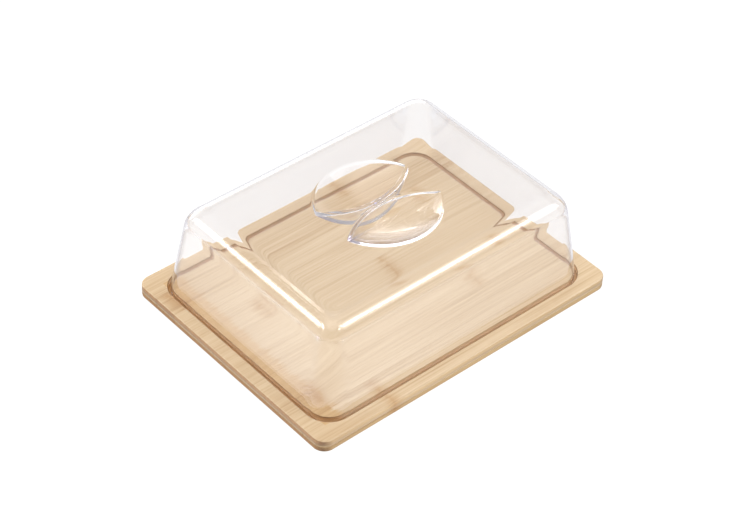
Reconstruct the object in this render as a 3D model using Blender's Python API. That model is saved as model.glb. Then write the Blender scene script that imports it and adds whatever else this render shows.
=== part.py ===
"""Butter dish: a bamboo board of two glued plies, and a clear cover that stands in the board's groove.

Metres, +Z up. The origin is at the middle of the board's underside, and +X runs along its length.
"""

import math

import bmesh
import bpy

MM = 0.001
TOUCHING_GAP = 0.3 * MM

# Board
BOARD_LENGTH = 200.0 * MM
BOARD_WIDTH = 152.9 * MM
BOARD_THICKNESS = 7.3 * MM
BOARD_CORNER_RADIUS = 7.0 * MM
EASED_EDGE = 0.7 * MM
GLUE_LINE_Z = 3.7 * MM

# Groove round the board's top face
GROOVE_MARGIN_X = 7.7 * MM
GROOVE_MARGIN_Y = 7.35 * MM
GROOVE_WIDTH = 3.9 * MM
GROOVE_DEPTH = 3.0 * MM
GROOVE_OUTER_RADIUS = 14.4 * MM

# Cover
COVER_HEIGHT = 60.9 * MM
COVER_SIDE_PLAY = 0.45 * MM
COVER_WALL = 2.0 * MM
COVER_TAPER = 8.7 * MM
COVER_EDGE_FILLET = 14.0 * MM

# Radius of the cover's upright corners: at the foot, where the top edge's fillet starts, on the flat
COVER_FOOT_RADIUS = 16.5 * MM
COVER_SIDE_RADIUS = 12.0 * MM
COVER_FLAT_RADIUS = 1.0 * MM

# Finger dish sunk into the cover's top, with a waisted grip left standing across it
DISH_RADIUS = 34.3 * MM
DISH_DEPTH = 12.0 * MM
GRIP_WAIST_HALF = 2.55 * MM
GRIP_END_HALF = 14.0 * MM
GRIP_WALL_DRAFT = math.radians(5.0)

# Facet counts
CORNER_SEGMENTS = 10
FILLET_SEGMENTS = 12
EASE_SEGMENTS = 3
DISH_SEGMENTS = 72
DISH_RINGS = 10
GRIP_WALL_SEGMENTS = 120

GROOVE_FLOOR_Z = BOARD_THICKNESS - GROOVE_DEPTH
COVER_FOOT_Z = GROOVE_FLOOR_Z + TOUCHING_GAP
TAPER_START_Z = BOARD_THICKNESS + TOUCHING_GAP
TAPER_SLOPE = COVER_TAPER / (COVER_HEIGHT - TAPER_START_Z)


def clear_scene():
    """Remove every object that the scene starts with."""
    for item in list(bpy.data.objects):
        bpy.data.objects.remove(item, do_unlink=True)


def make_material(name, colour, roughness, alpha=1.0, ior=1.5):
    """Return a Principled material of one colour."""
    material = bpy.data.materials.new(name)
    material.use_nodes = True
    material.diffuse_color = (*colour, alpha)
    shader = material.node_tree.nodes["Principled BSDF"]
    shader.inputs["Base Color"].default_value = (*colour, 1.0)
    shader.inputs["Roughness"].default_value = roughness
    shader.inputs["Metallic"].default_value = 0.0
    shader.inputs["Alpha"].default_value = alpha
    shader.inputs["IOR"].default_value = ior
    return material


def rounded_rectangle(half_x, half_y, radius, z):
    """Return a ring of points round a rectangle with rounded corners, anticlockwise from +X."""
    ring = []
    corners = ((1, 1), (-1, 1), (-1, -1), (1, -1))
    for quarter, (side_x, side_y) in enumerate(corners):
        for step in range(CORNER_SEGMENTS + 1):
            angle = math.pi / 2 * (quarter + step / CORNER_SEGMENTS)
            x = side_x * (half_x - radius) + radius * math.cos(angle)
            y = side_y * (half_y - radius) + radius * math.sin(angle)
            ring.append((x, y, z))
    return ring


def loft(name, rings):
    """Skin a stack of rings of equal point counts, close both ends and return the object."""
    mesh_builder = bmesh.new()
    loops = [[mesh_builder.verts.new(point) for point in ring] for ring in rings]
    for lower, upper in zip(loops, loops[1:]):
        for here in range(len(lower)):
            there = (here + 1) % len(lower)
            mesh_builder.faces.new((lower[here], lower[there], upper[there], upper[here]))
    mesh_builder.faces.new(loops[0])
    mesh_builder.faces.new(loops[-1])
    bmesh.ops.recalc_face_normals(mesh_builder, faces=mesh_builder.faces)
    mesh = bpy.data.meshes.new(name)
    mesh_builder.to_mesh(mesh)
    mesh_builder.free()
    solid = bpy.data.objects.new(name, mesh)
    bpy.context.scene.collection.objects.link(solid)
    return solid


def finish_piece(solid, material, origin_z=0.0):
    """Give a piece its material and smooth shading, and put its origin on the Z axis at origin_z."""
    for vertex in solid.data.vertices:
        vertex.co.z -= origin_z
    solid.location.z = origin_z
    solid.data.materials.append(material)
    solid.data.shade_smooth()
    solid.data.set_sharp_from_angle(angle=math.radians(35.0))


def make_cutter(solid):
    """Mark an object as a cutter: drawn as wire and left out of the part."""
    solid.hide_render = True
    solid.display_type = "WIRE"


def add_boolean(target, operation, tool):
    """Add an exact Boolean modifier that combines target with tool."""
    modifier = target.modifiers.new(f"{operation.lower()} {tool.name}", "BOOLEAN")
    modifier.operation = operation
    modifier.solver = "EXACT"
    modifier.object = tool


# ---------------------------------------------------------------- board


def board_ring(inset, z):
    """Return the board's outline, drawn in by inset, at height z."""
    return rounded_rectangle(
        BOARD_LENGTH / 2 - inset, BOARD_WIDTH / 2 - inset, BOARD_CORNER_RADIUS - inset, z
    )


def groove_ring(inset, z):
    """Return the groove's outer outline, drawn in by inset, at height z."""
    return rounded_rectangle(
        BOARD_LENGTH / 2 - GROOVE_MARGIN_X - inset,
        BOARD_WIDTH / 2 - GROOVE_MARGIN_Y - inset,
        GROOVE_OUTER_RADIUS - inset,
        z,
    )


def eased_edge(edge_z, direction):
    """Return board rings that round the edge at edge_z; direction is +1 for a top edge."""
    rings = []
    for step in range(EASE_SEGMENTS + 1):
        angle = math.pi / 2 * step / EASE_SEGMENTS
        inset = EASED_EDGE * (1 - math.cos(angle))
        rings.append(board_ring(inset, edge_z - direction * EASED_EDGE * (1 - math.sin(angle))))
    return rings


def make_bottom_ply(material):
    """Make the plain lower ply, eased round its underside."""
    rings = list(reversed(eased_edge(0.0, -1)))
    rings.append(board_ring(0.0, GLUE_LINE_Z - TOUCHING_GAP / 2))
    finish_piece(loft("board_bottom_ply", rings), material)


def make_top_ply(material):
    """Make the upper ply: eased round its top, with the groove and the island inside it."""
    rings = [board_ring(0.0, GLUE_LINE_Z + TOUCHING_GAP / 2)]
    rings += eased_edge(BOARD_THICKNESS, 1)
    rings += [
        groove_ring(0.0, BOARD_THICKNESS),
        groove_ring(0.0, GROOVE_FLOOR_Z),
        groove_ring(GROOVE_WIDTH, GROOVE_FLOOR_Z),
        groove_ring(GROOVE_WIDTH, BOARD_THICKNESS),
    ]
    finish_piece(loft("board_top_ply", rings), material)


# ---------------------------------------------------------------- cover


def cover_ring(inset, radius, z):
    """Return the cover's outline at height z; inset is measured from the foot's outer face."""
    return rounded_rectangle(
        BOARD_LENGTH / 2 - GROOVE_MARGIN_X - COVER_SIDE_PLAY - inset,
        BOARD_WIDTH / 2 - GROOVE_MARGIN_Y - COVER_SIDE_PLAY - inset,
        radius,
        z,
    )


def cover_skin(name, wall, foot_z):
    """Make a closed block inside the cover's outer skin by a distance of wall.

    The sides stand upright in the groove, taper above it, and turn into the flat top by a fillet.
    """
    top_z = COVER_HEIGHT - wall
    fillet = COVER_EDGE_FILLET - wall
    foot_radius = COVER_FOOT_RADIUS - wall
    side_radius = COVER_SIDE_RADIUS - wall
    taper_angle = math.atan(TAPER_SLOPE)
    centre_z = top_z - fillet
    centre_inset = wall + TAPER_SLOPE * (centre_z - TAPER_START_Z) + fillet / math.cos(taper_angle)
    side_inset = centre_inset - fillet * math.cos(taper_angle)

    rings = [cover_ring(wall, foot_radius, foot_z), cover_ring(wall, foot_radius, TAPER_START_Z)]
    for step in range(FILLET_SEGMENTS + 1):
        angle = taper_angle + (math.pi / 2 - taper_angle) * step / FILLET_SEGMENTS
        inset = centre_inset - fillet * math.cos(angle)
        share = (inset - side_inset) / (centre_inset - side_inset)
        radius = side_radius + (COVER_FLAT_RADIUS - side_radius) * share
        rings.append(cover_ring(inset, radius, centre_z + fillet * math.sin(angle)))
    return loft(name, rings)


def disc_ring(centre_y, radius, z, segments):
    """Return a horizontal circle of points."""
    ring = []
    for step in range(segments):
        angle = 2 * math.pi * step / segments
        ring.append((radius * math.cos(angle), centre_y + radius * math.sin(angle), z))
    return ring


def dish_block(name, wall):
    """Make the round-bottomed dish as a block, grown by wall, that rises past the cover's top."""
    ball_radius = (DISH_RADIUS**2 + DISH_DEPTH**2) / (2 * DISH_DEPTH)
    ball_z = COVER_HEIGHT - DISH_DEPTH + ball_radius
    grown_radius = ball_radius + wall
    rise = COVER_WALL
    rim_angle = math.acos((ball_z - COVER_HEIGHT - rise) / grown_radius)
    rings = []
    for step in range(1, DISH_RINGS + 1):
        angle = rim_angle * step / DISH_RINGS
        height = ball_z - grown_radius * math.cos(angle)
        rings.append(disc_ring(0.0, grown_radius * math.sin(angle), height, DISH_SEGMENTS))
    return loft(name, rings)


def grip_side_block(name, side, wall):
    """Make the space to one side of the waisted grip, grown by wall, as a drafted round block."""
    end_x = math.sqrt(DISH_RADIUS**2 - GRIP_END_HALF**2)
    sagitta = GRIP_END_HALF - GRIP_WAIST_HALF
    arc_radius = (end_x**2 + sagitta**2) / (2 * sagitta)
    centre_y = side * (GRIP_WAIST_HALF + arc_radius)
    rings = []
    for z in (COVER_HEIGHT - 2 * DISH_DEPTH, COVER_HEIGHT + 2 * COVER_WALL):
        radius = arc_radius + wall + (z - COVER_HEIGHT) * math.tan(GRIP_WALL_DRAFT)
        rings.append(disc_ring(centre_y, radius, z, GRIP_WALL_SEGMENTS))
    return loft(name, rings)


def cut_finger_recesses(block, wall):
    """Cut the dish out of a block on both sides of the grip; wall grows the cut."""
    for label, side in (("front", -1), ("back", 1)):
        dish = dish_block(f"{block.name} {label} dish", wall)
        grip_side = grip_side_block(f"{block.name} {label} grip side", side, wall)
        add_boolean(dish, "INTERSECT", grip_side)
        add_boolean(block, "DIFFERENCE", dish)
        make_cutter(dish)
        make_cutter(grip_side)


def make_cover(material):
    """Make the clear cover: an outer block with finger recesses, hollowed to an even wall."""
    cover = cover_skin("clear_cover", 0.0, COVER_FOOT_Z)
    cut_finger_recesses(cover, 0.0)
    hollow = cover_skin("cover hollow", COVER_WALL, COVER_FOOT_Z - COVER_WALL)
    cut_finger_recesses(hollow, COVER_WALL)
    make_cutter(hollow)
    add_boolean(cover, "DIFFERENCE", hollow)
    finish_piece(cover, material, COVER_FOOT_Z)


def main():
    clear_scene()
    make_bottom_ply(make_material("bamboo_core", (0.52, 0.34, 0.19), 0.5))
    make_top_ply(make_material("bamboo_face", (0.70, 0.52, 0.33), 0.45))
    make_cover(make_material("clear_acrylic", (0.93, 0.94, 0.95), 0.04, alpha=0.25, ior=1.49))


main()
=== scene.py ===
"""Looks of the butter dish: bamboo board, clear cover, studio and camera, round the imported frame."""

import math

import bpy
import numpy as np
from mathutils import Matrix, Quaternion, Vector


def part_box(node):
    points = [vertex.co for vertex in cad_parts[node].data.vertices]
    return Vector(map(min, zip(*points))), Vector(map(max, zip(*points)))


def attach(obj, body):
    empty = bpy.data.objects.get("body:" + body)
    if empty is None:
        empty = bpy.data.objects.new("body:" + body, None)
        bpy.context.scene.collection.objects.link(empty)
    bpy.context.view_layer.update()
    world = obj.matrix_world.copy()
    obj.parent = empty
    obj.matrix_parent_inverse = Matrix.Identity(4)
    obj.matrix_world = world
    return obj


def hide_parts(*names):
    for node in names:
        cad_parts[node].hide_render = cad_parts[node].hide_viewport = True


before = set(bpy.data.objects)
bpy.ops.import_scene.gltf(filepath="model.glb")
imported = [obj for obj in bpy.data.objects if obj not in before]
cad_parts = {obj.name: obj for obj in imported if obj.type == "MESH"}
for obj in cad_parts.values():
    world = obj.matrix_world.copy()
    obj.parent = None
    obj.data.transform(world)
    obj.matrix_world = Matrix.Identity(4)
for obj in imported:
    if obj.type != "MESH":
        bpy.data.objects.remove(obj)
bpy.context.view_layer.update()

MM = 0.001

# Board: what the frame's boxes don't say
BOARD_CORNER_RADIUS = 7.0 * MM
BOARD_EASE = 0.8 * MM
GROOVE_MARGIN_X = 7.7 * MM
GROOVE_MARGIN_Y = 7.35 * MM
GROOVE_WIDTH = 3.9 * MM
GROOVE_DEPTH = 3.0 * MM
GROOVE_OUTER_RADIUS = 14.4 * MM
GROOVE_EDGE_EASE = 0.35 * MM
GLUE_LINE = 0.03 * MM
STRIP_WIDTH = 16.4 * MM
STRIP_OFFSET = 5.8 * MM

# Cover
WALL = 2.0 * MM
EDGE_WALL = 1.3 * MM
TAPER = 8.7 * MM
EDGE_FILLET = 14.0 * MM
FOOT_RADIUS = 16.5 * MM
SIDE_RADIUS = 12.0 * MM
FLAT_RADIUS = 4.0 * MM
INNER_FOOT_RADIUS = 13.3 * MM
INNER_SIDE_RADIUS = 8.9 * MM
INNER_FLAT_RADIUS = 1.2 * MM
LIP_ROUND = 0.6 * MM
DISH_RADIUS = 33.4 * MM
DISH_DEPTH = 12.0 * MM
GRIP_WAIST_HALF = 2.55 * MM
GRIP_END_HALF = 13.8 * MM
GRIP_DRAFT = math.radians(5.0)
GRIP_EDGE_ROUND = 0.7 * MM
CREASE_ROUND = 0.8 * MM
RIM_ROUND = 0.8 * MM
PATCH_HALF = 40.0 * MM
GATE_OFFSET = 2.0 * MM
# The gate mark's rings from below: radius and height against the cover's top, in mm
GATE_RINGS = ((0.75, -0.35), (0.72, -0.08), (0.5, -0.02))

BOARD_LOW, BOARD_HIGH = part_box("board_bottom_ply")[0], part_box("board_top_ply")[1]
GLUE_Z = (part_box("board_bottom_ply")[1][2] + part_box("board_top_ply")[0][2]) / 2
COVER_LOW, COVER_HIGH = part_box("clear_cover")
BOARD_TOP = BOARD_HIGH[2]
COVER_TOP = COVER_HIGH[2]
TAPER_START = BOARD_TOP + 0.3 * MM
TAPER_SLOPE = TAPER / (COVER_TOP - TAPER_START)
TAPER_ANGLE = math.atan(TAPER_SLOPE)


# ---------------------------------------------------------------- mesh helpers


def add_piece(name, vertices, faces, material, body, replaced):
    """Make a smooth-shaded mesh object that rides on a body and stands for CAD nodes."""
    mesh = bpy.data.meshes.new(name)
    mesh.from_pydata([tuple(vertex) for vertex in vertices], [], faces)
    mesh.shade_smooth()
    mesh.materials.append(material)
    piece = bpy.data.objects.new(name, mesh)
    bpy.context.scene.collection.objects.link(piece)
    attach(piece, body)
    if replaced:
        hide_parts(*replaced)
    return piece


def rounded_ring(half_x, half_y, radius, z, side_counts, corner_steps):
    """Return points round a rounded rectangle, anticlockwise from the middle of the (-X, -Y) corner.

    side_counts holds the points on a side along X and on a side along Y; corner_steps of the steps
    at each end of a side go round half a corner.
    """
    ring = []
    for side in range(4):
        count = side_counts[side % 2]
        along, across = ((half_x, half_y), (half_y, half_x))[side % 2]
        turn = math.pi / 2 * side
        direction = (math.cos(turn), math.sin(turn))
        straight_steps = count - 1 - 2 * corner_steps
        for index in range(count - 1):
            if index < corner_steps:
                angle = -math.pi / 4 * (1 - index / corner_steps)
                centre = -(along - radius)
            elif index <= corner_steps + straight_steps:
                angle = 0.0
                centre = (along - radius) * (2 * (index - corner_steps) / straight_steps - 1)
            else:
                angle = math.pi / 4 * (index - corner_steps - straight_steps) / corner_steps
                centre = along - radius
            forward = centre + radius * math.sin(angle)
            outward = across - radius + radius * math.cos(angle)
            x = forward * direction[0] + outward * direction[1]
            y = forward * direction[1] - outward * direction[0]
            ring.append((x, y, z))
    return ring


def strip_faces(first, second, count):
    """Return the quads between two rings whose vertices start at the indices first and second."""
    faces = []
    for here in range(count):
        there = (here + 1) % count
        faces.append((first + here, second + here, second + there, first + there))
    return faces


# ---------------------------------------------------------------- board

BOARD_SIDES = (60, 60)
BOARD_CORNER_STEPS = 12


def loft_rings(rings):
    """Skin rings from the underside's outline up to the last one, and cap both ends."""
    vertices = []
    faces = []
    for index, ring in enumerate(rings):
        if index:
            faces += strip_faces(len(vertices), len(vertices) - len(ring), len(ring))
        vertices += ring
    count = len(rings[0])
    faces.append(tuple(reversed(range(count))))
    faces.append(tuple(range(len(vertices) - count, len(vertices))))
    return vertices, faces


def board_outline(inset, z):
    """Return the board's outline at a height, moved in by an inset."""
    return rounded_ring(
        BOARD_HIGH[0] - inset,
        BOARD_HIGH[1] - inset,
        BOARD_CORNER_RADIUS - inset,
        z,
        BOARD_SIDES,
        BOARD_CORNER_STEPS,
    )


def groove_outline(inset, z):
    """Return the groove's outer edge at a height, moved in by an inset."""
    return rounded_ring(
        BOARD_HIGH[0] - GROOVE_MARGIN_X - inset,
        BOARD_HIGH[1] - GROOVE_MARGIN_Y - inset,
        GROOVE_OUTER_RADIUS - inset,
        z,
        BOARD_SIDES,
        BOARD_CORNER_STEPS,
    )


def quarter_round(radius, steps=5):
    """Return (across, down) pairs that turn a square edge into a round one, starting on top."""
    pairs = []
    for step in range(steps + 1):
        angle = math.pi / 2 * step / steps
        pairs.append((radius * (1 - math.sin(angle)), radius * (1 - math.cos(angle))))
    return pairs


def make_board(lower_material, upper_material):
    """Make both plies, glued along a hairline, with eased edges and the milled groove."""
    support = 0.25 * MM
    bottom = [board_outline(BOARD_EASE + support, 0.0)]
    for across, down in quarter_round(BOARD_EASE):
        bottom.append(board_outline(across, down))
    bottom += [board_outline(0.0, BOARD_EASE + support), board_outline(0.0, GLUE_Z - GLUE_LINE)]
    vertices, faces = loft_rings(bottom)
    add_piece(
        "board_lower_ply", vertices, faces, lower_material, "board", ["board_bottom_ply"]
    )

    floor_z = BOARD_TOP - GROOVE_DEPTH
    top = [board_outline(0.0, GLUE_Z + GLUE_LINE), board_outline(0.0, BOARD_TOP - BOARD_EASE - support)]
    for across, down in reversed(quarter_round(BOARD_EASE)):
        top.append(board_outline(across, BOARD_TOP - down))
    top.append(board_outline(BOARD_EASE + support, BOARD_TOP))
    top.append(groove_outline(-GROOVE_EDGE_EASE - support, BOARD_TOP))
    for across, down in quarter_round(GROOVE_EDGE_EASE):
        top.append(groove_outline(-across, BOARD_TOP - down))
    top.append(groove_outline(0.0, BOARD_TOP - GROOVE_EDGE_EASE - support))
    for across, down in quarter_round(GROOVE_EDGE_EASE):
        top.append(groove_outline(GROOVE_EDGE_EASE - across, floor_z + down))
    for across, down in reversed(quarter_round(GROOVE_EDGE_EASE)):
        top.append(groove_outline(GROOVE_WIDTH - GROOVE_EDGE_EASE + across, floor_z + down))
    top.append(groove_outline(GROOVE_WIDTH, BOARD_TOP - GROOVE_EDGE_EASE - support))
    for across, down in reversed(quarter_round(GROOVE_EDGE_EASE)):
        top.append(groove_outline(GROOVE_WIDTH + across, BOARD_TOP - down))
    top.append(groove_outline(GROOVE_WIDTH + GROOVE_EDGE_EASE + support, BOARD_TOP))
    vertices, faces = loft_rings(top)
    add_piece("board_upper_ply", vertices, faces, upper_material, "board", ["board_top_ply"])


# ---------------------------------------------------------------- cover

BALL_RADIUS = (DISH_RADIUS**2 + DISH_DEPTH**2) / (2 * DISH_DEPTH)
GRIP_END_X = math.sqrt(DISH_RADIUS**2 - GRIP_END_HALF**2)
GRIP_SAGITTA = GRIP_END_HALF - GRIP_WAIST_HALF
GRIP_ARC_RADIUS = (GRIP_END_X**2 + GRIP_SAGITTA**2) / (2 * GRIP_SAGITTA)
GRIP_ARC_Y = GRIP_WAIST_HALF + GRIP_ARC_RADIUS
COVER_CORNER_STEPS = 10


def grip_wall_y(x, depth, wall):
    """Return y of the grip's drafted wall at a depth below the skin's flat top."""
    radius = GRIP_ARC_RADIUS + wall - (depth + wall) * math.tan(GRIP_DRAFT)
    return GRIP_ARC_Y - math.sqrt(radius**2 - x**2)


def dish_depth(x, y, wall):
    """Return the dish's depth below the skin's flat top, negative outside its rim."""
    square = (BALL_RADIUS + wall) ** 2 - x**2 - y**2
    return math.sqrt(square) - (BALL_RADIUS + wall - DISH_DEPTH)


def dish_rim_y(x, wall):
    """Return y of the dish's rim on the skin's flat top."""
    square = (BALL_RADIUS + wall) ** 2 - (BALL_RADIUS + wall - DISH_DEPTH) ** 2 - x**2
    return math.sqrt(max(square, 0.0))


def grip_tip_x(wall):
    """Return x where the dish's rim meets the grip's wall, by halving."""
    low, high = 0.8 * GRIP_END_X, 1.2 * GRIP_END_X
    for _ in range(40):
        middle = (low + high) / 2
        if dish_rim_y(middle, wall) > grip_wall_y(middle, 0.0, wall):
            low = middle
        else:
            high = middle
    return low


def bend(before, corner, after, setback_before, setback_after, steps):
    """Return a smooth bend round a corner of a polyline, as points of a quadratic curve."""
    start = corner + (before - corner) * (setback_before / (before - corner).length)
    end = corner + (after - corner) * (setback_after / (after - corner).length)
    points = []
    for step in range(steps + 1):
        t = step / steps
        points.append(start * (1 - t) ** 2 + corner * (2 * t * (1 - t)) + end * t**2)
    return points


def recess_column(x, wall):
    """Return (y, depth) points from the grip's middle line out to the patch's edge, at one x."""
    least = 0.25 * MM
    share = 0.42
    edge_y = grip_wall_y(x, 0.0, wall)
    crease_y, crease_depth = edge_y, 0.0
    for _ in range(12):
        crease_depth = max(dish_depth(x, crease_y, wall), 0.0)
        crease_y = grip_wall_y(x, crease_depth, wall)
    rim_y = max(dish_rim_y(x, wall), edge_y + 2 * least)
    if crease_depth < 0.02 * MM:
        crease_y = (edge_y + rim_y) / 2
    middle = Vector((0.0, 0.0))
    edge = Vector((edge_y, 0.0))
    crease = Vector((crease_y, crease_depth))
    rim = Vector((rim_y, 0.0))
    outside = Vector((PATCH_HALF, 0.0))

    wall_length = (crease - edge).length
    dish_length = (rim - crease).length
    edge_setback = min(GRIP_EDGE_ROUND, share * wall_length, share * edge_y)
    crease_setback = min(CREASE_ROUND, share * wall_length, share * dish_length)
    rim_setback = min(RIM_ROUND, share * dish_length)

    def on_dish(y):
        return Vector((y, max(dish_depth(x, y, wall), 0.0)))

    crease_end = on_dish(crease_y + crease_setback)
    rim_start = on_dish(rim_y - rim_setback)
    points = [middle + (edge - middle) * share for share in (0.0, 0.4, 0.75)]
    points += bend(middle, edge, crease, edge_setback, edge_setback, 5)
    low_wall = crease + (edge - crease) * (crease_setback / wall_length)
    high_wall = edge + (crease - edge) * (edge_setback / wall_length)
    points += [high_wall.lerp(low_wall, step / 6) for step in range(1, 6)]
    for step in range(7):
        t = step / 6
        points.append(low_wall * (1 - t) ** 2 + crease * (2 * t * (1 - t)) + crease_end * t**2)
    floor_steps = 16
    for step in range(1, floor_steps):
        points.append(on_dish(crease_end.x + (rim_start.x - crease_end.x) * step / floor_steps))
    rim_end = rim + Vector((rim_setback, 0.0))
    for step in range(7):
        t = step / 6
        points.append(rim_start * (1 - t) ** 2 + rim * (2 * t * (1 - t)) + rim_end * t**2)
    points += [rim_end.lerp(outside, share) for share in (0.08, 0.4, 1.0)]
    return points


def patch_columns(wall):
    """Return the x of each column of the top's patch, closest together at the recesses' tips."""
    tip = grip_tip_x(wall)
    half = list(np.linspace(0.0, 0.86, 20)) + list(np.linspace(0.88, 0.955, 5))
    half += list(np.linspace(0.965, 1.03, 11))
    half = [tip * share for share in half]
    half += [half[-1] + (PATCH_HALF - half[-1]) * share for share in (0.15, 0.5, 1.0)]
    return [-x for x in reversed(half[1:])] + half


def top_patch(wall):
    """Return a grid [column][row] of points over the top's middle, with both finger recesses."""
    top_z = COVER_TOP - wall
    grid = []
    for x in patch_columns(wall):
        half = recess_column(abs(x), wall)
        column = [(x, -point.x, top_z - point.y) for point in reversed(half[1:])]
        column += [(x, point.x, top_z - point.y) for point in half]
        grid.append(column)
    return grid


def skin_profile(wall, edge_wall, foot_radius, side_radius, flat_radius):
    """Return (inset, corner radius, z) of the rings of one skin, from the flat top to the foot.

    The skin lies wall inside the outer one on the flats and edge_wall inside it round the top edge,
    where it meets the flats at faint creases if the two differ. The upright corners' radius shrinks
    from foot_radius to side_radius up the side, and to flat_radius round the edge.
    """
    centre_z = COVER_TOP - EDGE_FILLET
    centre_inset = TAPER_SLOPE * (centre_z - TAPER_START) + EDGE_FILLET / math.cos(TAPER_ANGLE)
    fillet = EDGE_FILLET - edge_wall
    crease = math.acos((EDGE_FILLET - wall) / fillet)
    span = math.pi / 2 - TAPER_ANGLE
    soften = 0.9 * MM

    def ring_at(angle):
        share = math.sin(angle) / math.sin(span)
        radius = flat_radius + (side_radius - flat_radius) * share
        return (centre_inset - fillet * math.sin(angle), radius, centre_z + fillet * math.cos(angle))

    inset, radius, z = ring_at(crease)
    rings = [(inset + 2 * soften, radius, z), (inset + soften, radius, z)]
    start, end = crease + soften / fillet, span - crease - soften / fillet
    rings += [ring_at(start + (end - start) * step / 30) for step in range(31)]

    inset, radius, z = ring_at(span - crease)
    foot_inset = wall / math.cos(TAPER_ANGLE)
    for share in (0.01, 0.02, 0.35, 0.7, 0.98):
        lower = z + (TAPER_START - z) * share
        corner = radius + (foot_radius - radius) * share
        rings.append((foot_inset + TAPER_SLOPE * (lower - TAPER_START), corner, lower))
    rings.append((wall, foot_radius, TAPER_START - 0.6 * MM))
    rings.append((wall, foot_radius, COVER_LOW[2] + LIP_ROUND + 0.3 * MM))
    return rings


def lip_profile():
    """Return the rings round the foot's lower edge, from the outer skin to the inner one."""
    rings = []
    steps = 4
    for step in range(steps + 1):
        angle = math.pi / 2 * step / steps
        inset = LIP_ROUND * (1 - math.cos(angle))
        rings.append((inset, FOOT_RADIUS - inset, COVER_LOW[2] + LIP_ROUND * (1 - math.sin(angle))))
    for inset, _, z in list(reversed(rings)):
        rings.append((WALL - inset, INNER_FOOT_RADIUS + inset, z))
    return rings


def make_cover(material):
    """Make the cover as one closed shell: outer skin, lip and inner skin."""
    outer, inner = top_patch(0.0), top_patch(WALL)
    columns, rows = len(outer), len(outer[0])
    vertices = [point for column in outer for point in column]
    inner_start = len(vertices)
    vertices += [point for column in inner for point in column]

    def at(column, row, start):
        return start + column * rows + row

    faces = []
    for column in range(columns - 1):
        for row in range(rows - 1):
            corners = ((column, row), (column + 1, row), (column + 1, row + 1), (column, row + 1))
            faces.append(tuple(at(*corner, 0) for corner in corners))
            faces.append(tuple(at(*corner, inner_start) for corner in reversed(corners)))

    border = [(column, 0) for column in range(columns - 1)]
    border += [(columns - 1, row) for row in range(rows - 1)]
    border += [(column, rows - 1) for column in range(columns - 1, 0, -1)]
    border += [(0, row) for row in range(rows - 1, 0, -1)]
    count = len(border)

    outside = skin_profile(0.0, 0.0, FOOT_RADIUS, SIDE_RADIUS, FLAT_RADIUS)
    inside = skin_profile(WALL, EDGE_WALL, INNER_FOOT_RADIUS, INNER_SIDE_RADIUS, INNER_FLAT_RADIUS)
    profile = outside + lip_profile() + list(reversed(inside))
    ring_starts = []
    for inset, radius, z in profile:
        ring_starts.append(len(vertices))
        half_x, half_y = COVER_HIGH[0] - inset, COVER_HIGH[1] - inset
        vertices += rounded_ring(half_x, half_y, radius, z, (columns, rows), COVER_CORNER_STEPS)
    for first, second in zip(ring_starts, ring_starts[1:]):
        faces += strip_faces(first, second, count)
    for here in range(count):
        there = (here + 1) % count
        faces.append(
            (at(*border[here], 0), ring_starts[0] + here, ring_starts[0] + there, at(*border[there], 0))
        )
        faces.append(
            (
                ring_starts[-1] + here,
                at(*border[here], inner_start),
                at(*border[there], inner_start),
                ring_starts[-1] + there,
            )
        )
    add_piece("cover", vertices, faces, material, "cover", ["clear_cover"])


def make_gate_mark(material):
    """Make the small trimmed stub that moulding leaves in the middle of the grip."""
    count = 20
    rings = []
    for radius, height in GATE_RINGS:
        ring = []
        for step in range(count):
            angle = 2 * math.pi * step / count
            x = radius * MM * math.cos(angle) - GATE_OFFSET
            ring.append((x, radius * MM * math.sin(angle), COVER_TOP + height * MM))
        rings.append(ring)
    vertices, faces = loft_rings(rings)
    add_piece("cover_gate_mark", vertices, faces, material, "cover", [])


# ---------------------------------------------------------------- materials

BAMBOO_TONES = (
    (0.36, (0.43, 0.275, 0.145)),
    (0.48, (0.52, 0.367, 0.215)),
    (0.58, (0.57, 0.42, 0.262)),
    (0.72, (0.62, 0.475, 0.312)),
)
# Tones of the upright faces by how far they face X: partly the cut grain, partly painted shade; the
# darkest stop, at the rounded corners, is painted shade
SIDE_GRAIN_AND_SHADE_TONES = ((0.0, (0.86, 0.79, 0.66)), (0.7, (0.40, 0.30, 0.21)), (1.0, (0.67, 0.49, 0.31)))
# Where each strip's joint lies, in mm from the board's -X end, for the strips from -Y to +Y
KNOT_PLACES = (48, 47, 20, 141, 172, 112, 40, 164, 7, 131, 84)
# Painted shade: the cover's colour darkens and turns violet-grey towards grazing angles
GRAZING_SHADE_TINTS = ((0.5, (1.0, 1.0, 1.0)), (0.95, (0.32, 0.30, 0.38)))
PORE_TONES = ((0.3, (0.55, 0.45, 0.38)), (0.6, (1.0, 1.0, 1.0)))
KNOT_TINT = (0.80, 0.66, 0.50, 1.0)
SEAM_TINT = (0.62, 0.45, 0.32, 1.0)
# Painted shade colour of the shaded groove
GROOVE_SHADE_TONE = (0.66, 0.43, 0.25, 1.0)
END_TONE_AND_SHADE_TINT = (0.86, 0.82, 0.77, 1.0)
TOASTED_TINT = (0.95, 0.84, 0.66, 1.0)
CORE_TINT = (0.88, 0.86, 0.77, 1.0)
FACE_TINT = (0.985, 1.0, 1.0, 1.0)
SCUFF_TONES = ((0.35, (0.34, 0.29, 0.42)), (0.65, (0.62, 0.57, 0.68)))
ACRYLIC_IOR = 1.49
ACRYLIC_DEPTH_TONE = (0.30, 0.20, 0.35, 1.0)
ACRYLIC_DEPTH_DENSITY = 18.0
SHADOW_TINT = (0.95, 0.95, 0.95, 1.0)
# Rays that have bounced more often than this are trapped in the walls, and go straight on
TRAPPED_RAY_DEPTH = 5.5


def new_material(name):
    """Return an empty node material with its tree and output node."""
    material = bpy.data.materials.new(name)
    material.use_nodes = True
    tree = material.node_tree
    tree.nodes.clear()
    return material, tree, tree.nodes.new("ShaderNodeOutputMaterial")


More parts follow.
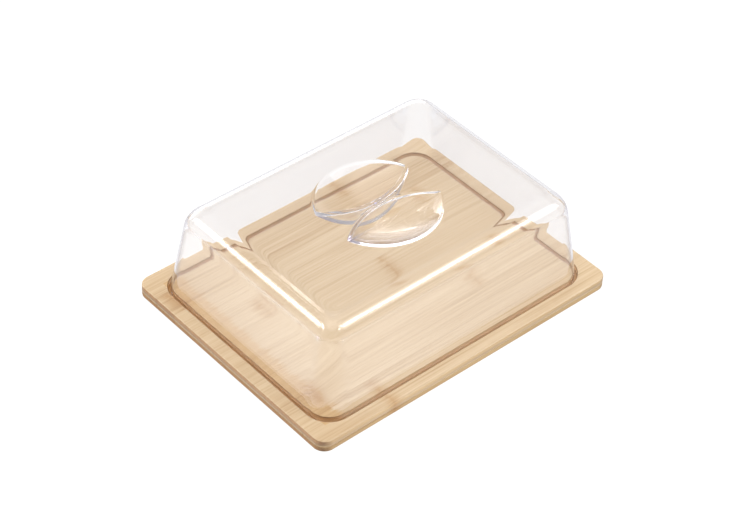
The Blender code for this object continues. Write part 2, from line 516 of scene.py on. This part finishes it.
def fill_ramp(ramp, stops):
    """Give a colour ramp its stops, each a place from 0 to 1 and a linear colour."""
    elements = ramp.color_ramp.elements
    while len(elements) < len(stops):
        elements.new(0.5)
    for element, (place, colour) in zip(elements, stops):
        element.position = place
        element.color = (*colour, 1.0)


class Wiring:
    """Short ways to add nodes to a tree; arguments are numbers, tuples or sockets."""

    def __init__(self, tree):
        self.tree = tree

    def feed(self, socket, value):
        if isinstance(value, bpy.types.NodeSocket):
            self.tree.links.new(value, socket)
        else:
            socket.default_value = value

    def math(self, operation, *values):
        node = self.tree.nodes.new("ShaderNodeMath")
        node.operation = operation
        for socket, value in zip(node.inputs, values):
            self.feed(socket, value)
        return node.outputs[0]

    def combine(self, x, y, z):
        node = self.tree.nodes.new("ShaderNodeCombineXYZ")
        for socket, value in zip(node.inputs, (x, y, z)):
            self.feed(socket, value)
        return node.outputs[0]

    def split(self, vector):
        node = self.tree.nodes.new("ShaderNodeSeparateXYZ")
        self.feed(node.inputs[0], vector)
        return tuple(node.outputs)

    def noise(self, vector, detail):
        """Return smooth noise of unit scale, from 0 to 1."""
        node = self.tree.nodes.new("ShaderNodeTexNoise")
        self.feed(node.inputs["Vector"], vector)
        node.inputs["Scale"].default_value = 1.0
        node.inputs["Detail"].default_value = detail
        return node.outputs[0]

    def random(self, value):
        """Return a fixed random number from 0 to 1 for each value."""
        node = self.tree.nodes.new("ShaderNodeTexWhiteNoise")
        node.noise_dimensions = "1D"
        self.feed(node.inputs["W"], value)
        return node.outputs["Value"]

    def ramp(self, value, stops, interpolation="LINEAR"):
        node = self.tree.nodes.new("ShaderNodeValToRGB")
        node.color_ramp.interpolation = interpolation
        fill_ramp(node, stops)
        self.feed(node.inputs[0], value)
        return node.outputs[0]

    def fit(self, value, low, high, to_low, to_high):
        """Return value mapped from low..high to to_low..to_high with smooth ends."""
        node = self.tree.nodes.new("ShaderNodeMapRange")
        node.interpolation_type = "SMOOTHSTEP"
        for socket, number in zip(node.inputs, (value, low, high, to_low, to_high)):
            self.feed(socket, number)
        return node.outputs[0]

    def blend(self, kind, factor, first, second):
        node = self.tree.nodes.new("ShaderNodeMix")
        node.data_type = "RGBA"
        node.blend_type = kind
        self.feed(node.inputs[0], factor)
        self.feed(node.inputs[6], first)
        self.feed(node.inputs[7], second)
        return node.outputs[2]


def make_acrylic():
    """Return clear acrylic that bends and reflects light, and lets lamps shine through it.

    It is darker towards grazing angles, a painted shade on its outline that makes it show against a white
    studio.
    """
    material, tree, output = new_material("clear_acrylic_look")
    wire = Wiring(tree)
    shader = tree.nodes.new("ShaderNodeBsdfPrincipled")
    # Painted shade: darker, violet-grey colour towards grazing angles
    grazing = tree.nodes.new("ShaderNodeLayerWeight").outputs["Facing"]
    wire.feed(shader.inputs["Base Color"], wire.ramp(grazing, GRAZING_SHADE_TINTS))
    shader.inputs["Roughness"].default_value = 0.0
    shader.inputs["IOR"].default_value = ACRYLIC_IOR
    shader.inputs["Transmission Weight"].default_value = 1.0

    clear = tree.nodes.new("ShaderNodeBsdfTransparent")
    clear.inputs["Color"].default_value = SHADOW_TINT
    path = tree.nodes.new("ShaderNodeLightPath").outputs
    soft_light = wire.math("MAXIMUM", path["Is Shadow Ray"], path["Is Diffuse Ray"])
    trapped = wire.math("GREATER_THAN", path["Ray Depth"], TRAPPED_RAY_DEPTH)
    mix = tree.nodes.new("ShaderNodeMixShader")
    wire.feed(mix.inputs[0], wire.math("MAXIMUM", soft_light, trapped))
    tree.links.new(shader.outputs[0], mix.inputs[1])
    tree.links.new(clear.outputs[0], mix.inputs[2])
    tree.links.new(mix.outputs[0], output.inputs["Surface"])

    tint = tree.nodes.new("ShaderNodeVolumeAbsorption")
    tint.inputs["Color"].default_value = ACRYLIC_DEPTH_TONE
    tint.inputs["Density"].default_value = ACRYLIC_DEPTH_DENSITY
    tree.links.new(tint.outputs[0], output.inputs["Volume"])
    return material


def make_scuffed_acrylic():
    """Return the frosted, slightly violet acrylic of a trimmed gate."""
    material, tree, output = new_material("scuffed_acrylic_look")
    wire = Wiring(tree)
    x, y, _ = wire.split(tree.nodes.new("ShaderNodeTexCoord").outputs["Object"])
    scuffs = wire.noise(
        wire.combine(wire.math("MULTIPLY", x, 6000.0), wire.math("MULTIPLY", y, 6000.0), 0.0), 1.0
    )
    shader = tree.nodes.new("ShaderNodeBsdfPrincipled")
    wire.feed(shader.inputs["Base Color"], wire.ramp(scuffs, SCUFF_TONES))
    shader.inputs["Roughness"].default_value = 0.35
    tree.links.new(shader.outputs[0], output.inputs["Surface"])
    return material


def fibre_tone(wire, x, y, z, strip):
    """Return the fibres' tone from 0 to 1: soft streaks and fine lines along X, new in each strip."""
    shift = wire.math("MULTIPLY", strip, 7.3)
    broad_x = wire.math("MULTIPLY_ADD", x, 9.0, shift)
    fine_x = wire.math("MULTIPLY_ADD", x, 16.0, shift)
    broad = wire.noise(
        wire.combine(broad_x, wire.math("MULTIPLY", y, 260.0), wire.math("MULTIPLY", z, 260.0)), 2.0
    )
    fine = wire.noise(
        wire.combine(fine_x, wire.math("MULTIPLY", y, 1100.0), wire.math("MULTIPLY", z, 1100.0)), 2.0
    )
    return wire.math("MULTIPLY_ADD", fine, 0.6, wire.math("MULTIPLY", broad, 0.4))


def knot_tone(wire, x, y, strip):
    """Return 1 in the brown band that crosses each strip at its bamboo joint, and 0 elsewhere."""
    wander = wire.noise(
        wire.combine(wire.math("MULTIPLY", x, 90.0), wire.math("MULTIPLY", y, 300.0), 0.0), 2.0
    )
    count = len(KNOT_PLACES)
    first_strip = math.floor((BOARD_LOW[1] + STRIP_OFFSET) / STRIP_WIDTH)
    share = wire.math("DIVIDE", wire.math("ADD", strip, 0.5 - first_strip), count)
    places = [(index / count, (place / 200,) * 3) for index, place in enumerate(KNOT_PLACES)]
    knot_x = wire.math("MULTIPLY_ADD", wire.ramp(share, places, "CONSTANT"), 200 * MM, BOARD_LOW[0])
    offset = wire.math("MULTIPLY_ADD", wander, 6 * MM, wire.math("SUBTRACT", x, knot_x))
    offset = wire.math("ABSOLUTE", wire.math("SUBTRACT", offset, 3 * MM))
    soft = wire.fit(offset, 0.5 * MM, 7 * MM, 1.0, 0.0)
    line = wire.fit(offset, 0.2 * MM, 1.2 * MM, 1.0, 0.0)
    patchy = wire.fit(wander, 0.35, 0.65, 0.45, 1.0)
    return wire.math("MULTIPLY_ADD", line, 0.35, wire.math("MULTIPLY", soft, patchy))


def strip_colour(wire, x, y, strip, fibres):
    """Return the colour of the glued strips, with their knots and the seams between them."""
    own_tone = wire.random(wire.math("ADD", strip, 0.37))
    colour = wire.ramp(wire.math("MULTIPLY_ADD", own_tone, 0.10, fibres), BAMBOO_TONES)
    knots = wire.math("MULTIPLY", knot_tone(wire, x, y, strip), 0.7)
    colour = wire.blend("MULTIPLY", knots, colour, KNOT_TINT)
    seam_y = wire.math("PINGPONG", wire.math("ADD", y, STRIP_OFFSET), STRIP_WIDTH)
    seam = wire.math("MINIMUM", seam_y, wire.math("SUBTRACT", STRIP_WIDTH, seam_y))
    seam = wire.fit(seam, 0.05 * MM, 0.35 * MM, 0.22, 0.0)
    return wire.blend("MULTIPLY", seam, colour, SEAM_TINT)


def tone_and_shade_sides(wire, colour, y, z, normal_x, normal_z):
    """Return the colour with the upright faces darkened, partly their own cut grain and partly painted
    shade, darkest at the rounded corners, and pores in those that cut the fibres.
    """
    upright = wire.fit(wire.math("ABSOLUTE", normal_z), 0.35, 0.85, 1.0, 0.0)
    # Partly cut grain, partly painted shade: darker upright faces, darkest at the rounded corners
    side = wire.ramp(wire.math("ABSOLUTE", normal_x), SIDE_GRAIN_AND_SHADE_TONES)
    pores = wire.noise(
        wire.combine(0.0, wire.math("MULTIPLY", y, 1600.0), wire.math("MULTIPLY", z, 1600.0)), 1.0
    )
    end_grain = wire.fit(wire.math("ABSOLUTE", normal_x), 0.4, 0.9, 0.0, 0.5)
    side = wire.blend("MULTIPLY", end_grain, side, wire.ramp(pores, PORE_TONES))
    return wire.blend("MULTIPLY", upright, colour, side)


def inside_edge(wire, x, y, margin):
    """Return 1 where the point lies more than a margin inside the board's outline, else 0."""
    inside_x = wire.math("LESS_THAN", wire.math("ABSOLUTE", x), BOARD_HIGH[0] - margin)
    inside_y = wire.math("LESS_THAN", wire.math("ABSOLUTE", y), BOARD_HIGH[1] - margin)
    return wire.math("MULTIPLY", inside_x, inside_y)


def shade_groove(wire, colour, x, y, z):
    """Return the colour with the milled groove mixed toward a warm brown from just below the top face
    down, a painted shade colour for the shaded groove.
    """
    # Painted shade colour: the groove's walls and floor are mixed toward a warm brown
    depth = wire.fit(z, BOARD_TOP - 1.2 * MM, BOARD_TOP - 0.1 * MM, 1.0, 0.0)
    groove = wire.math("MULTIPLY", depth, inside_edge(wire, x, y, 5 * MM))
    return wire.blend("MIX", wire.math("MULTIPLY", groove, 0.8), colour, GROOVE_SHADE_TONE)


def tone_and_shade_end(wire, colour, x, y, fibres):
    """Return the colour darkened towards the -X end, partly the wood's own tone and partly painted shade,
    and warm with a ragged edge on the island.
    """
    # Partly the wood's own tone, partly painted shade: darker towards the -X end
    end = wire.fit(x, BOARD_LOW[0] + 4 * MM, BOARD_LOW[0] + 45 * MM, 0.85, 0.0)
    colour = wire.blend("MULTIPLY", end, colour, END_TONE_AND_SHADE_TINT)
    ragged_x = wire.math("MULTIPLY_ADD", fibres, 22 * MM, x)
    toasted = wire.fit(ragged_x, BOARD_LOW[0] + 31 * MM, BOARD_LOW[0] + 34 * MM, 1.0, 0.0)
    toasted = wire.math("MULTIPLY", toasted, inside_edge(wire, x, y, 10 * MM))
    return wire.blend("MULTIPLY", toasted, colour, TOASTED_TINT)


def make_bamboo(name, tint):
    """Return bamboo: glued strips along X with their own tones, fibres, knots and end grain, and painted
    shade on the upright faces, in the groove and towards the -X end.
    """
    material, tree, output = new_material(name)
    wire = Wiring(tree)
    place = tree.nodes.new("ShaderNodeTexCoord")
    x, y, z = wire.split(place.outputs["Object"])
    normal_x, _, normal_z = wire.split(place.outputs["Normal"])
    strip = wire.math("FLOOR", wire.math("DIVIDE", wire.math("ADD", y, STRIP_OFFSET), STRIP_WIDTH))
    fibres = fibre_tone(wire, x, y, z, strip)

    colour = strip_colour(wire, x, y, strip, fibres)
    colour = tone_and_shade_sides(wire, colour, y, z, normal_x, normal_z)
    colour = shade_groove(wire, colour, x, y, z)
    colour = tone_and_shade_end(wire, colour, x, y, fibres)
    colour = wire.blend("MULTIPLY", 1.0, colour, tint)

    shader = tree.nodes.new("ShaderNodeBsdfPrincipled")
    wire.feed(shader.inputs["Base Color"], colour)
    wire.feed(shader.inputs["Roughness"], wire.fit(fibres, 0.3, 0.7, 0.42, 0.54))
    bump = tree.nodes.new("ShaderNodeBump")
    bump.inputs["Strength"].default_value = 0.15
    bump.inputs["Distance"].default_value = 0.1 * MM
    wire.feed(bump.inputs["Height"], fibres)
    wire.feed(shader.inputs["Normal"], bump.outputs[0])
    tree.links.new(shader.outputs[0], output.inputs["Surface"])
    return material


# ---------------------------------------------------------------- studio

FLOOR_COLOUR = (0.05, 0.05, 0.05, 1.0)
FRONT_GLOW = 0.6
# Sine of the elevation, and the dome's brightness there
DOME_LEVELS = ((0.0, 1.0), (0.24, 1.0), (0.36, 0.66), (0.80, 0.66), (0.93, 1.8))
SOFTBOX_DISTANCE = 1.2
# Each layer's height against the lamp's own, and its share of the light
SOFTBOX_LAYERS = ((0.7, 0.40), (1.3, 0.25), (2.1, 0.15), (3.1, 0.12), (4.3, 0.08))
# Name, azimuth, elevation and roll in degrees, width and height in metres, radiance
SOFTBOXES = (
    ("softbox_left", 140.0, 33.0, 24.0, 0.6, 0.11, 24.0),
    ("softbox_right", -49.0, 39.0, -24.0, 0.6, 0.15, 14.0),
    ("softbox_low", 72.0, 8.0, 0.0, 1.6, 0.22, 4.5),
    ("softbox_back", 93.0, 57.0, 0.0, 0.25, 0.04, 6.0),
)
CAMERA_AZIMUTH = -42.995
CAMERA_ELEVATION = 41.879
CAMERA_ROLL = 3.023
CAMERA_DISTANCE = 1.20466
CAMERA_TARGET = (13.55 * MM, 14.67 * MM, 0.0)
CAMERA_LENS = 107.018


def make_floor():
    """Make the plain white floor, self-lit so that it stays white, and brightest towards the front."""
    material, tree, output = new_material("studio_floor")
    diffuse = tree.nodes.new("ShaderNodeBsdfDiffuse")
    diffuse.inputs["Color"].default_value = FLOOR_COLOUR
    wire = Wiring(tree)
    x, y, _ = wire.split(tree.nodes.new("ShaderNodeTexCoord").outputs["Object"])
    glow = tree.nodes.new("ShaderNodeEmission")
    past_end = wire.math("SUBTRACT", wire.math("ABSOLUTE", x), BOARD_HIGH[0])
    past_side = wire.math("SUBTRACT", wire.math("ABSOLUTE", y), BOARD_HIGH[1])
    # The extra front glow starts only 4 mm past the board's outline, so the floor right by the board is
    # dimmer: painted shade of the board
    away = wire.fit(wire.math("MAXIMUM", past_end, past_side), 0.0, 4 * MM, 0.0, 1.0)
    front = wire.fit(wire.math("ADD", x, y), -150 * MM, 50 * MM, FRONT_GLOW, 0.0)
    wire.feed(glow.inputs["Strength"], wire.math("MULTIPLY_ADD", away, front, 1.0))
    total = tree.nodes.new("ShaderNodeAddShader")
    tree.links.new(diffuse.outputs[0], total.inputs[0])
    tree.links.new(glow.outputs[0], total.inputs[1])
    tree.links.new(total.outputs[0], output.inputs["Surface"])
    bpy.ops.mesh.primitive_circle_add(vertices=96, radius=4.0, fill_type="NGON", location=(0, 0, -0.0002))
    floor = bpy.context.object
    floor.name = "studio_floor"
    floor.data.materials.append(material)


def make_world():
    """Light the studio from a dome: white near the horizon, dimmer higher up, bright at the top."""
    world = bpy.data.worlds.new("studio")
    world.use_nodes = True
    tree = world.node_tree
    background = tree.nodes["Background"]
    direction = tree.nodes.new("ShaderNodeTexCoord")
    split = tree.nodes.new("ShaderNodeSeparateXYZ")
    ramp = tree.nodes.new("ShaderNodeValToRGB")
    fill_ramp(ramp, [(place, (level, level, level)) for place, level in DOME_LEVELS])
    tree.links.new(direction.outputs["Generated"], split.inputs[0])
    tree.links.new(split.outputs["Z"], ramp.inputs[0])
    tree.links.new(ramp.outputs[0], background.inputs["Color"])
    bpy.context.scene.world = world


def add_softbox(name, azimuth, elevation, roll, width, height, radiance):
    """Add a rectangular lamp that faces the object from a direction; angles are in degrees.

    The taller and weaker lamps behind it make its long edges soft, like those of a cloth front.
    """
    azimuth, elevation = math.radians(azimuth), math.radians(elevation)
    away = Vector(
        (
            math.cos(azimuth) * math.cos(elevation),
            math.sin(azimuth) * math.cos(elevation),
            math.sin(elevation),
        )
    )
    target = Vector((0.0, 0.0, COVER_TOP))
    turn = away.to_track_quat("Z", "Y") @ Quaternion((0, 0, 1), math.radians(roll))
    for layer, (scale, share) in enumerate(SOFTBOX_LAYERS):
        lamp = bpy.data.lights.new(f"{name}_{layer}", "AREA")
        lamp.shape = "RECTANGLE"
        lamp.size = width
        lamp.size_y = height * scale
        lamp.energy = radiance * share * math.pi * lamp.size * lamp.size_y
        holder = bpy.data.objects.new(lamp.name, lamp)
        holder.location = target + away * (SOFTBOX_DISTANCE + 0.01 * layer)
        holder.rotation_euler = turn.to_euler()
        bpy.context.scene.collection.objects.link(holder)


def make_camera():
    """Place the camera by its direction, its distance from a point on the table and its roll."""
    azimuth, elevation = math.radians(CAMERA_AZIMUTH), math.radians(CAMERA_ELEVATION)
    roll = math.radians(CAMERA_ROLL)
    back = Vector(
        (
            math.sin(azimuth) * math.cos(elevation),
            -math.cos(azimuth) * math.cos(elevation),
            math.sin(elevation),
        )
    )
    right = Vector((0, 0, 1)).cross(back).normalized()
    up = back.cross(right)
    rolled_right = right * math.cos(roll) + up * math.sin(roll)
    rolled_up = up * math.cos(roll) - right * math.sin(roll)
    data = bpy.data.cameras.new("camera")
    data.sensor_width = 36.0
    data.lens = CAMERA_LENS
    data.clip_end = 50.0
    camera = bpy.data.objects.new("camera", data)
    turn = Matrix((rolled_right, rolled_up, back)).transposed().to_4x4()
    camera.matrix_world = Matrix.Translation(Vector(CAMERA_TARGET) + back * CAMERA_DISTANCE) @ turn
    bpy.context.scene.collection.objects.link(camera)
    bpy.context.scene.camera = camera


def set_up_render():
    """Let light pass all the cover's walls, and show colours as they are."""
    scene = bpy.context.scene
    scene.view_settings.view_transform = "Standard"
    scene.cycles.max_bounces = 24
    scene.cycles.transmission_bounces = 20
    scene.cycles.glossy_bounces = 20
    scene.cycles.diffuse_bounces = 4
    scene.cycles.transparent_max_bounces = 24


make_board(
    make_bamboo("bamboo_core_look", CORE_TINT),
    make_bamboo("bamboo_face_look", FACE_TINT),
)
make_cover(make_acrylic())
make_gate_mark(make_scuffed_acrylic())
make_floor()
make_world()
for softbox in SOFTBOXES:
    add_softbox(*softbox)
make_camera()
set_up_render()
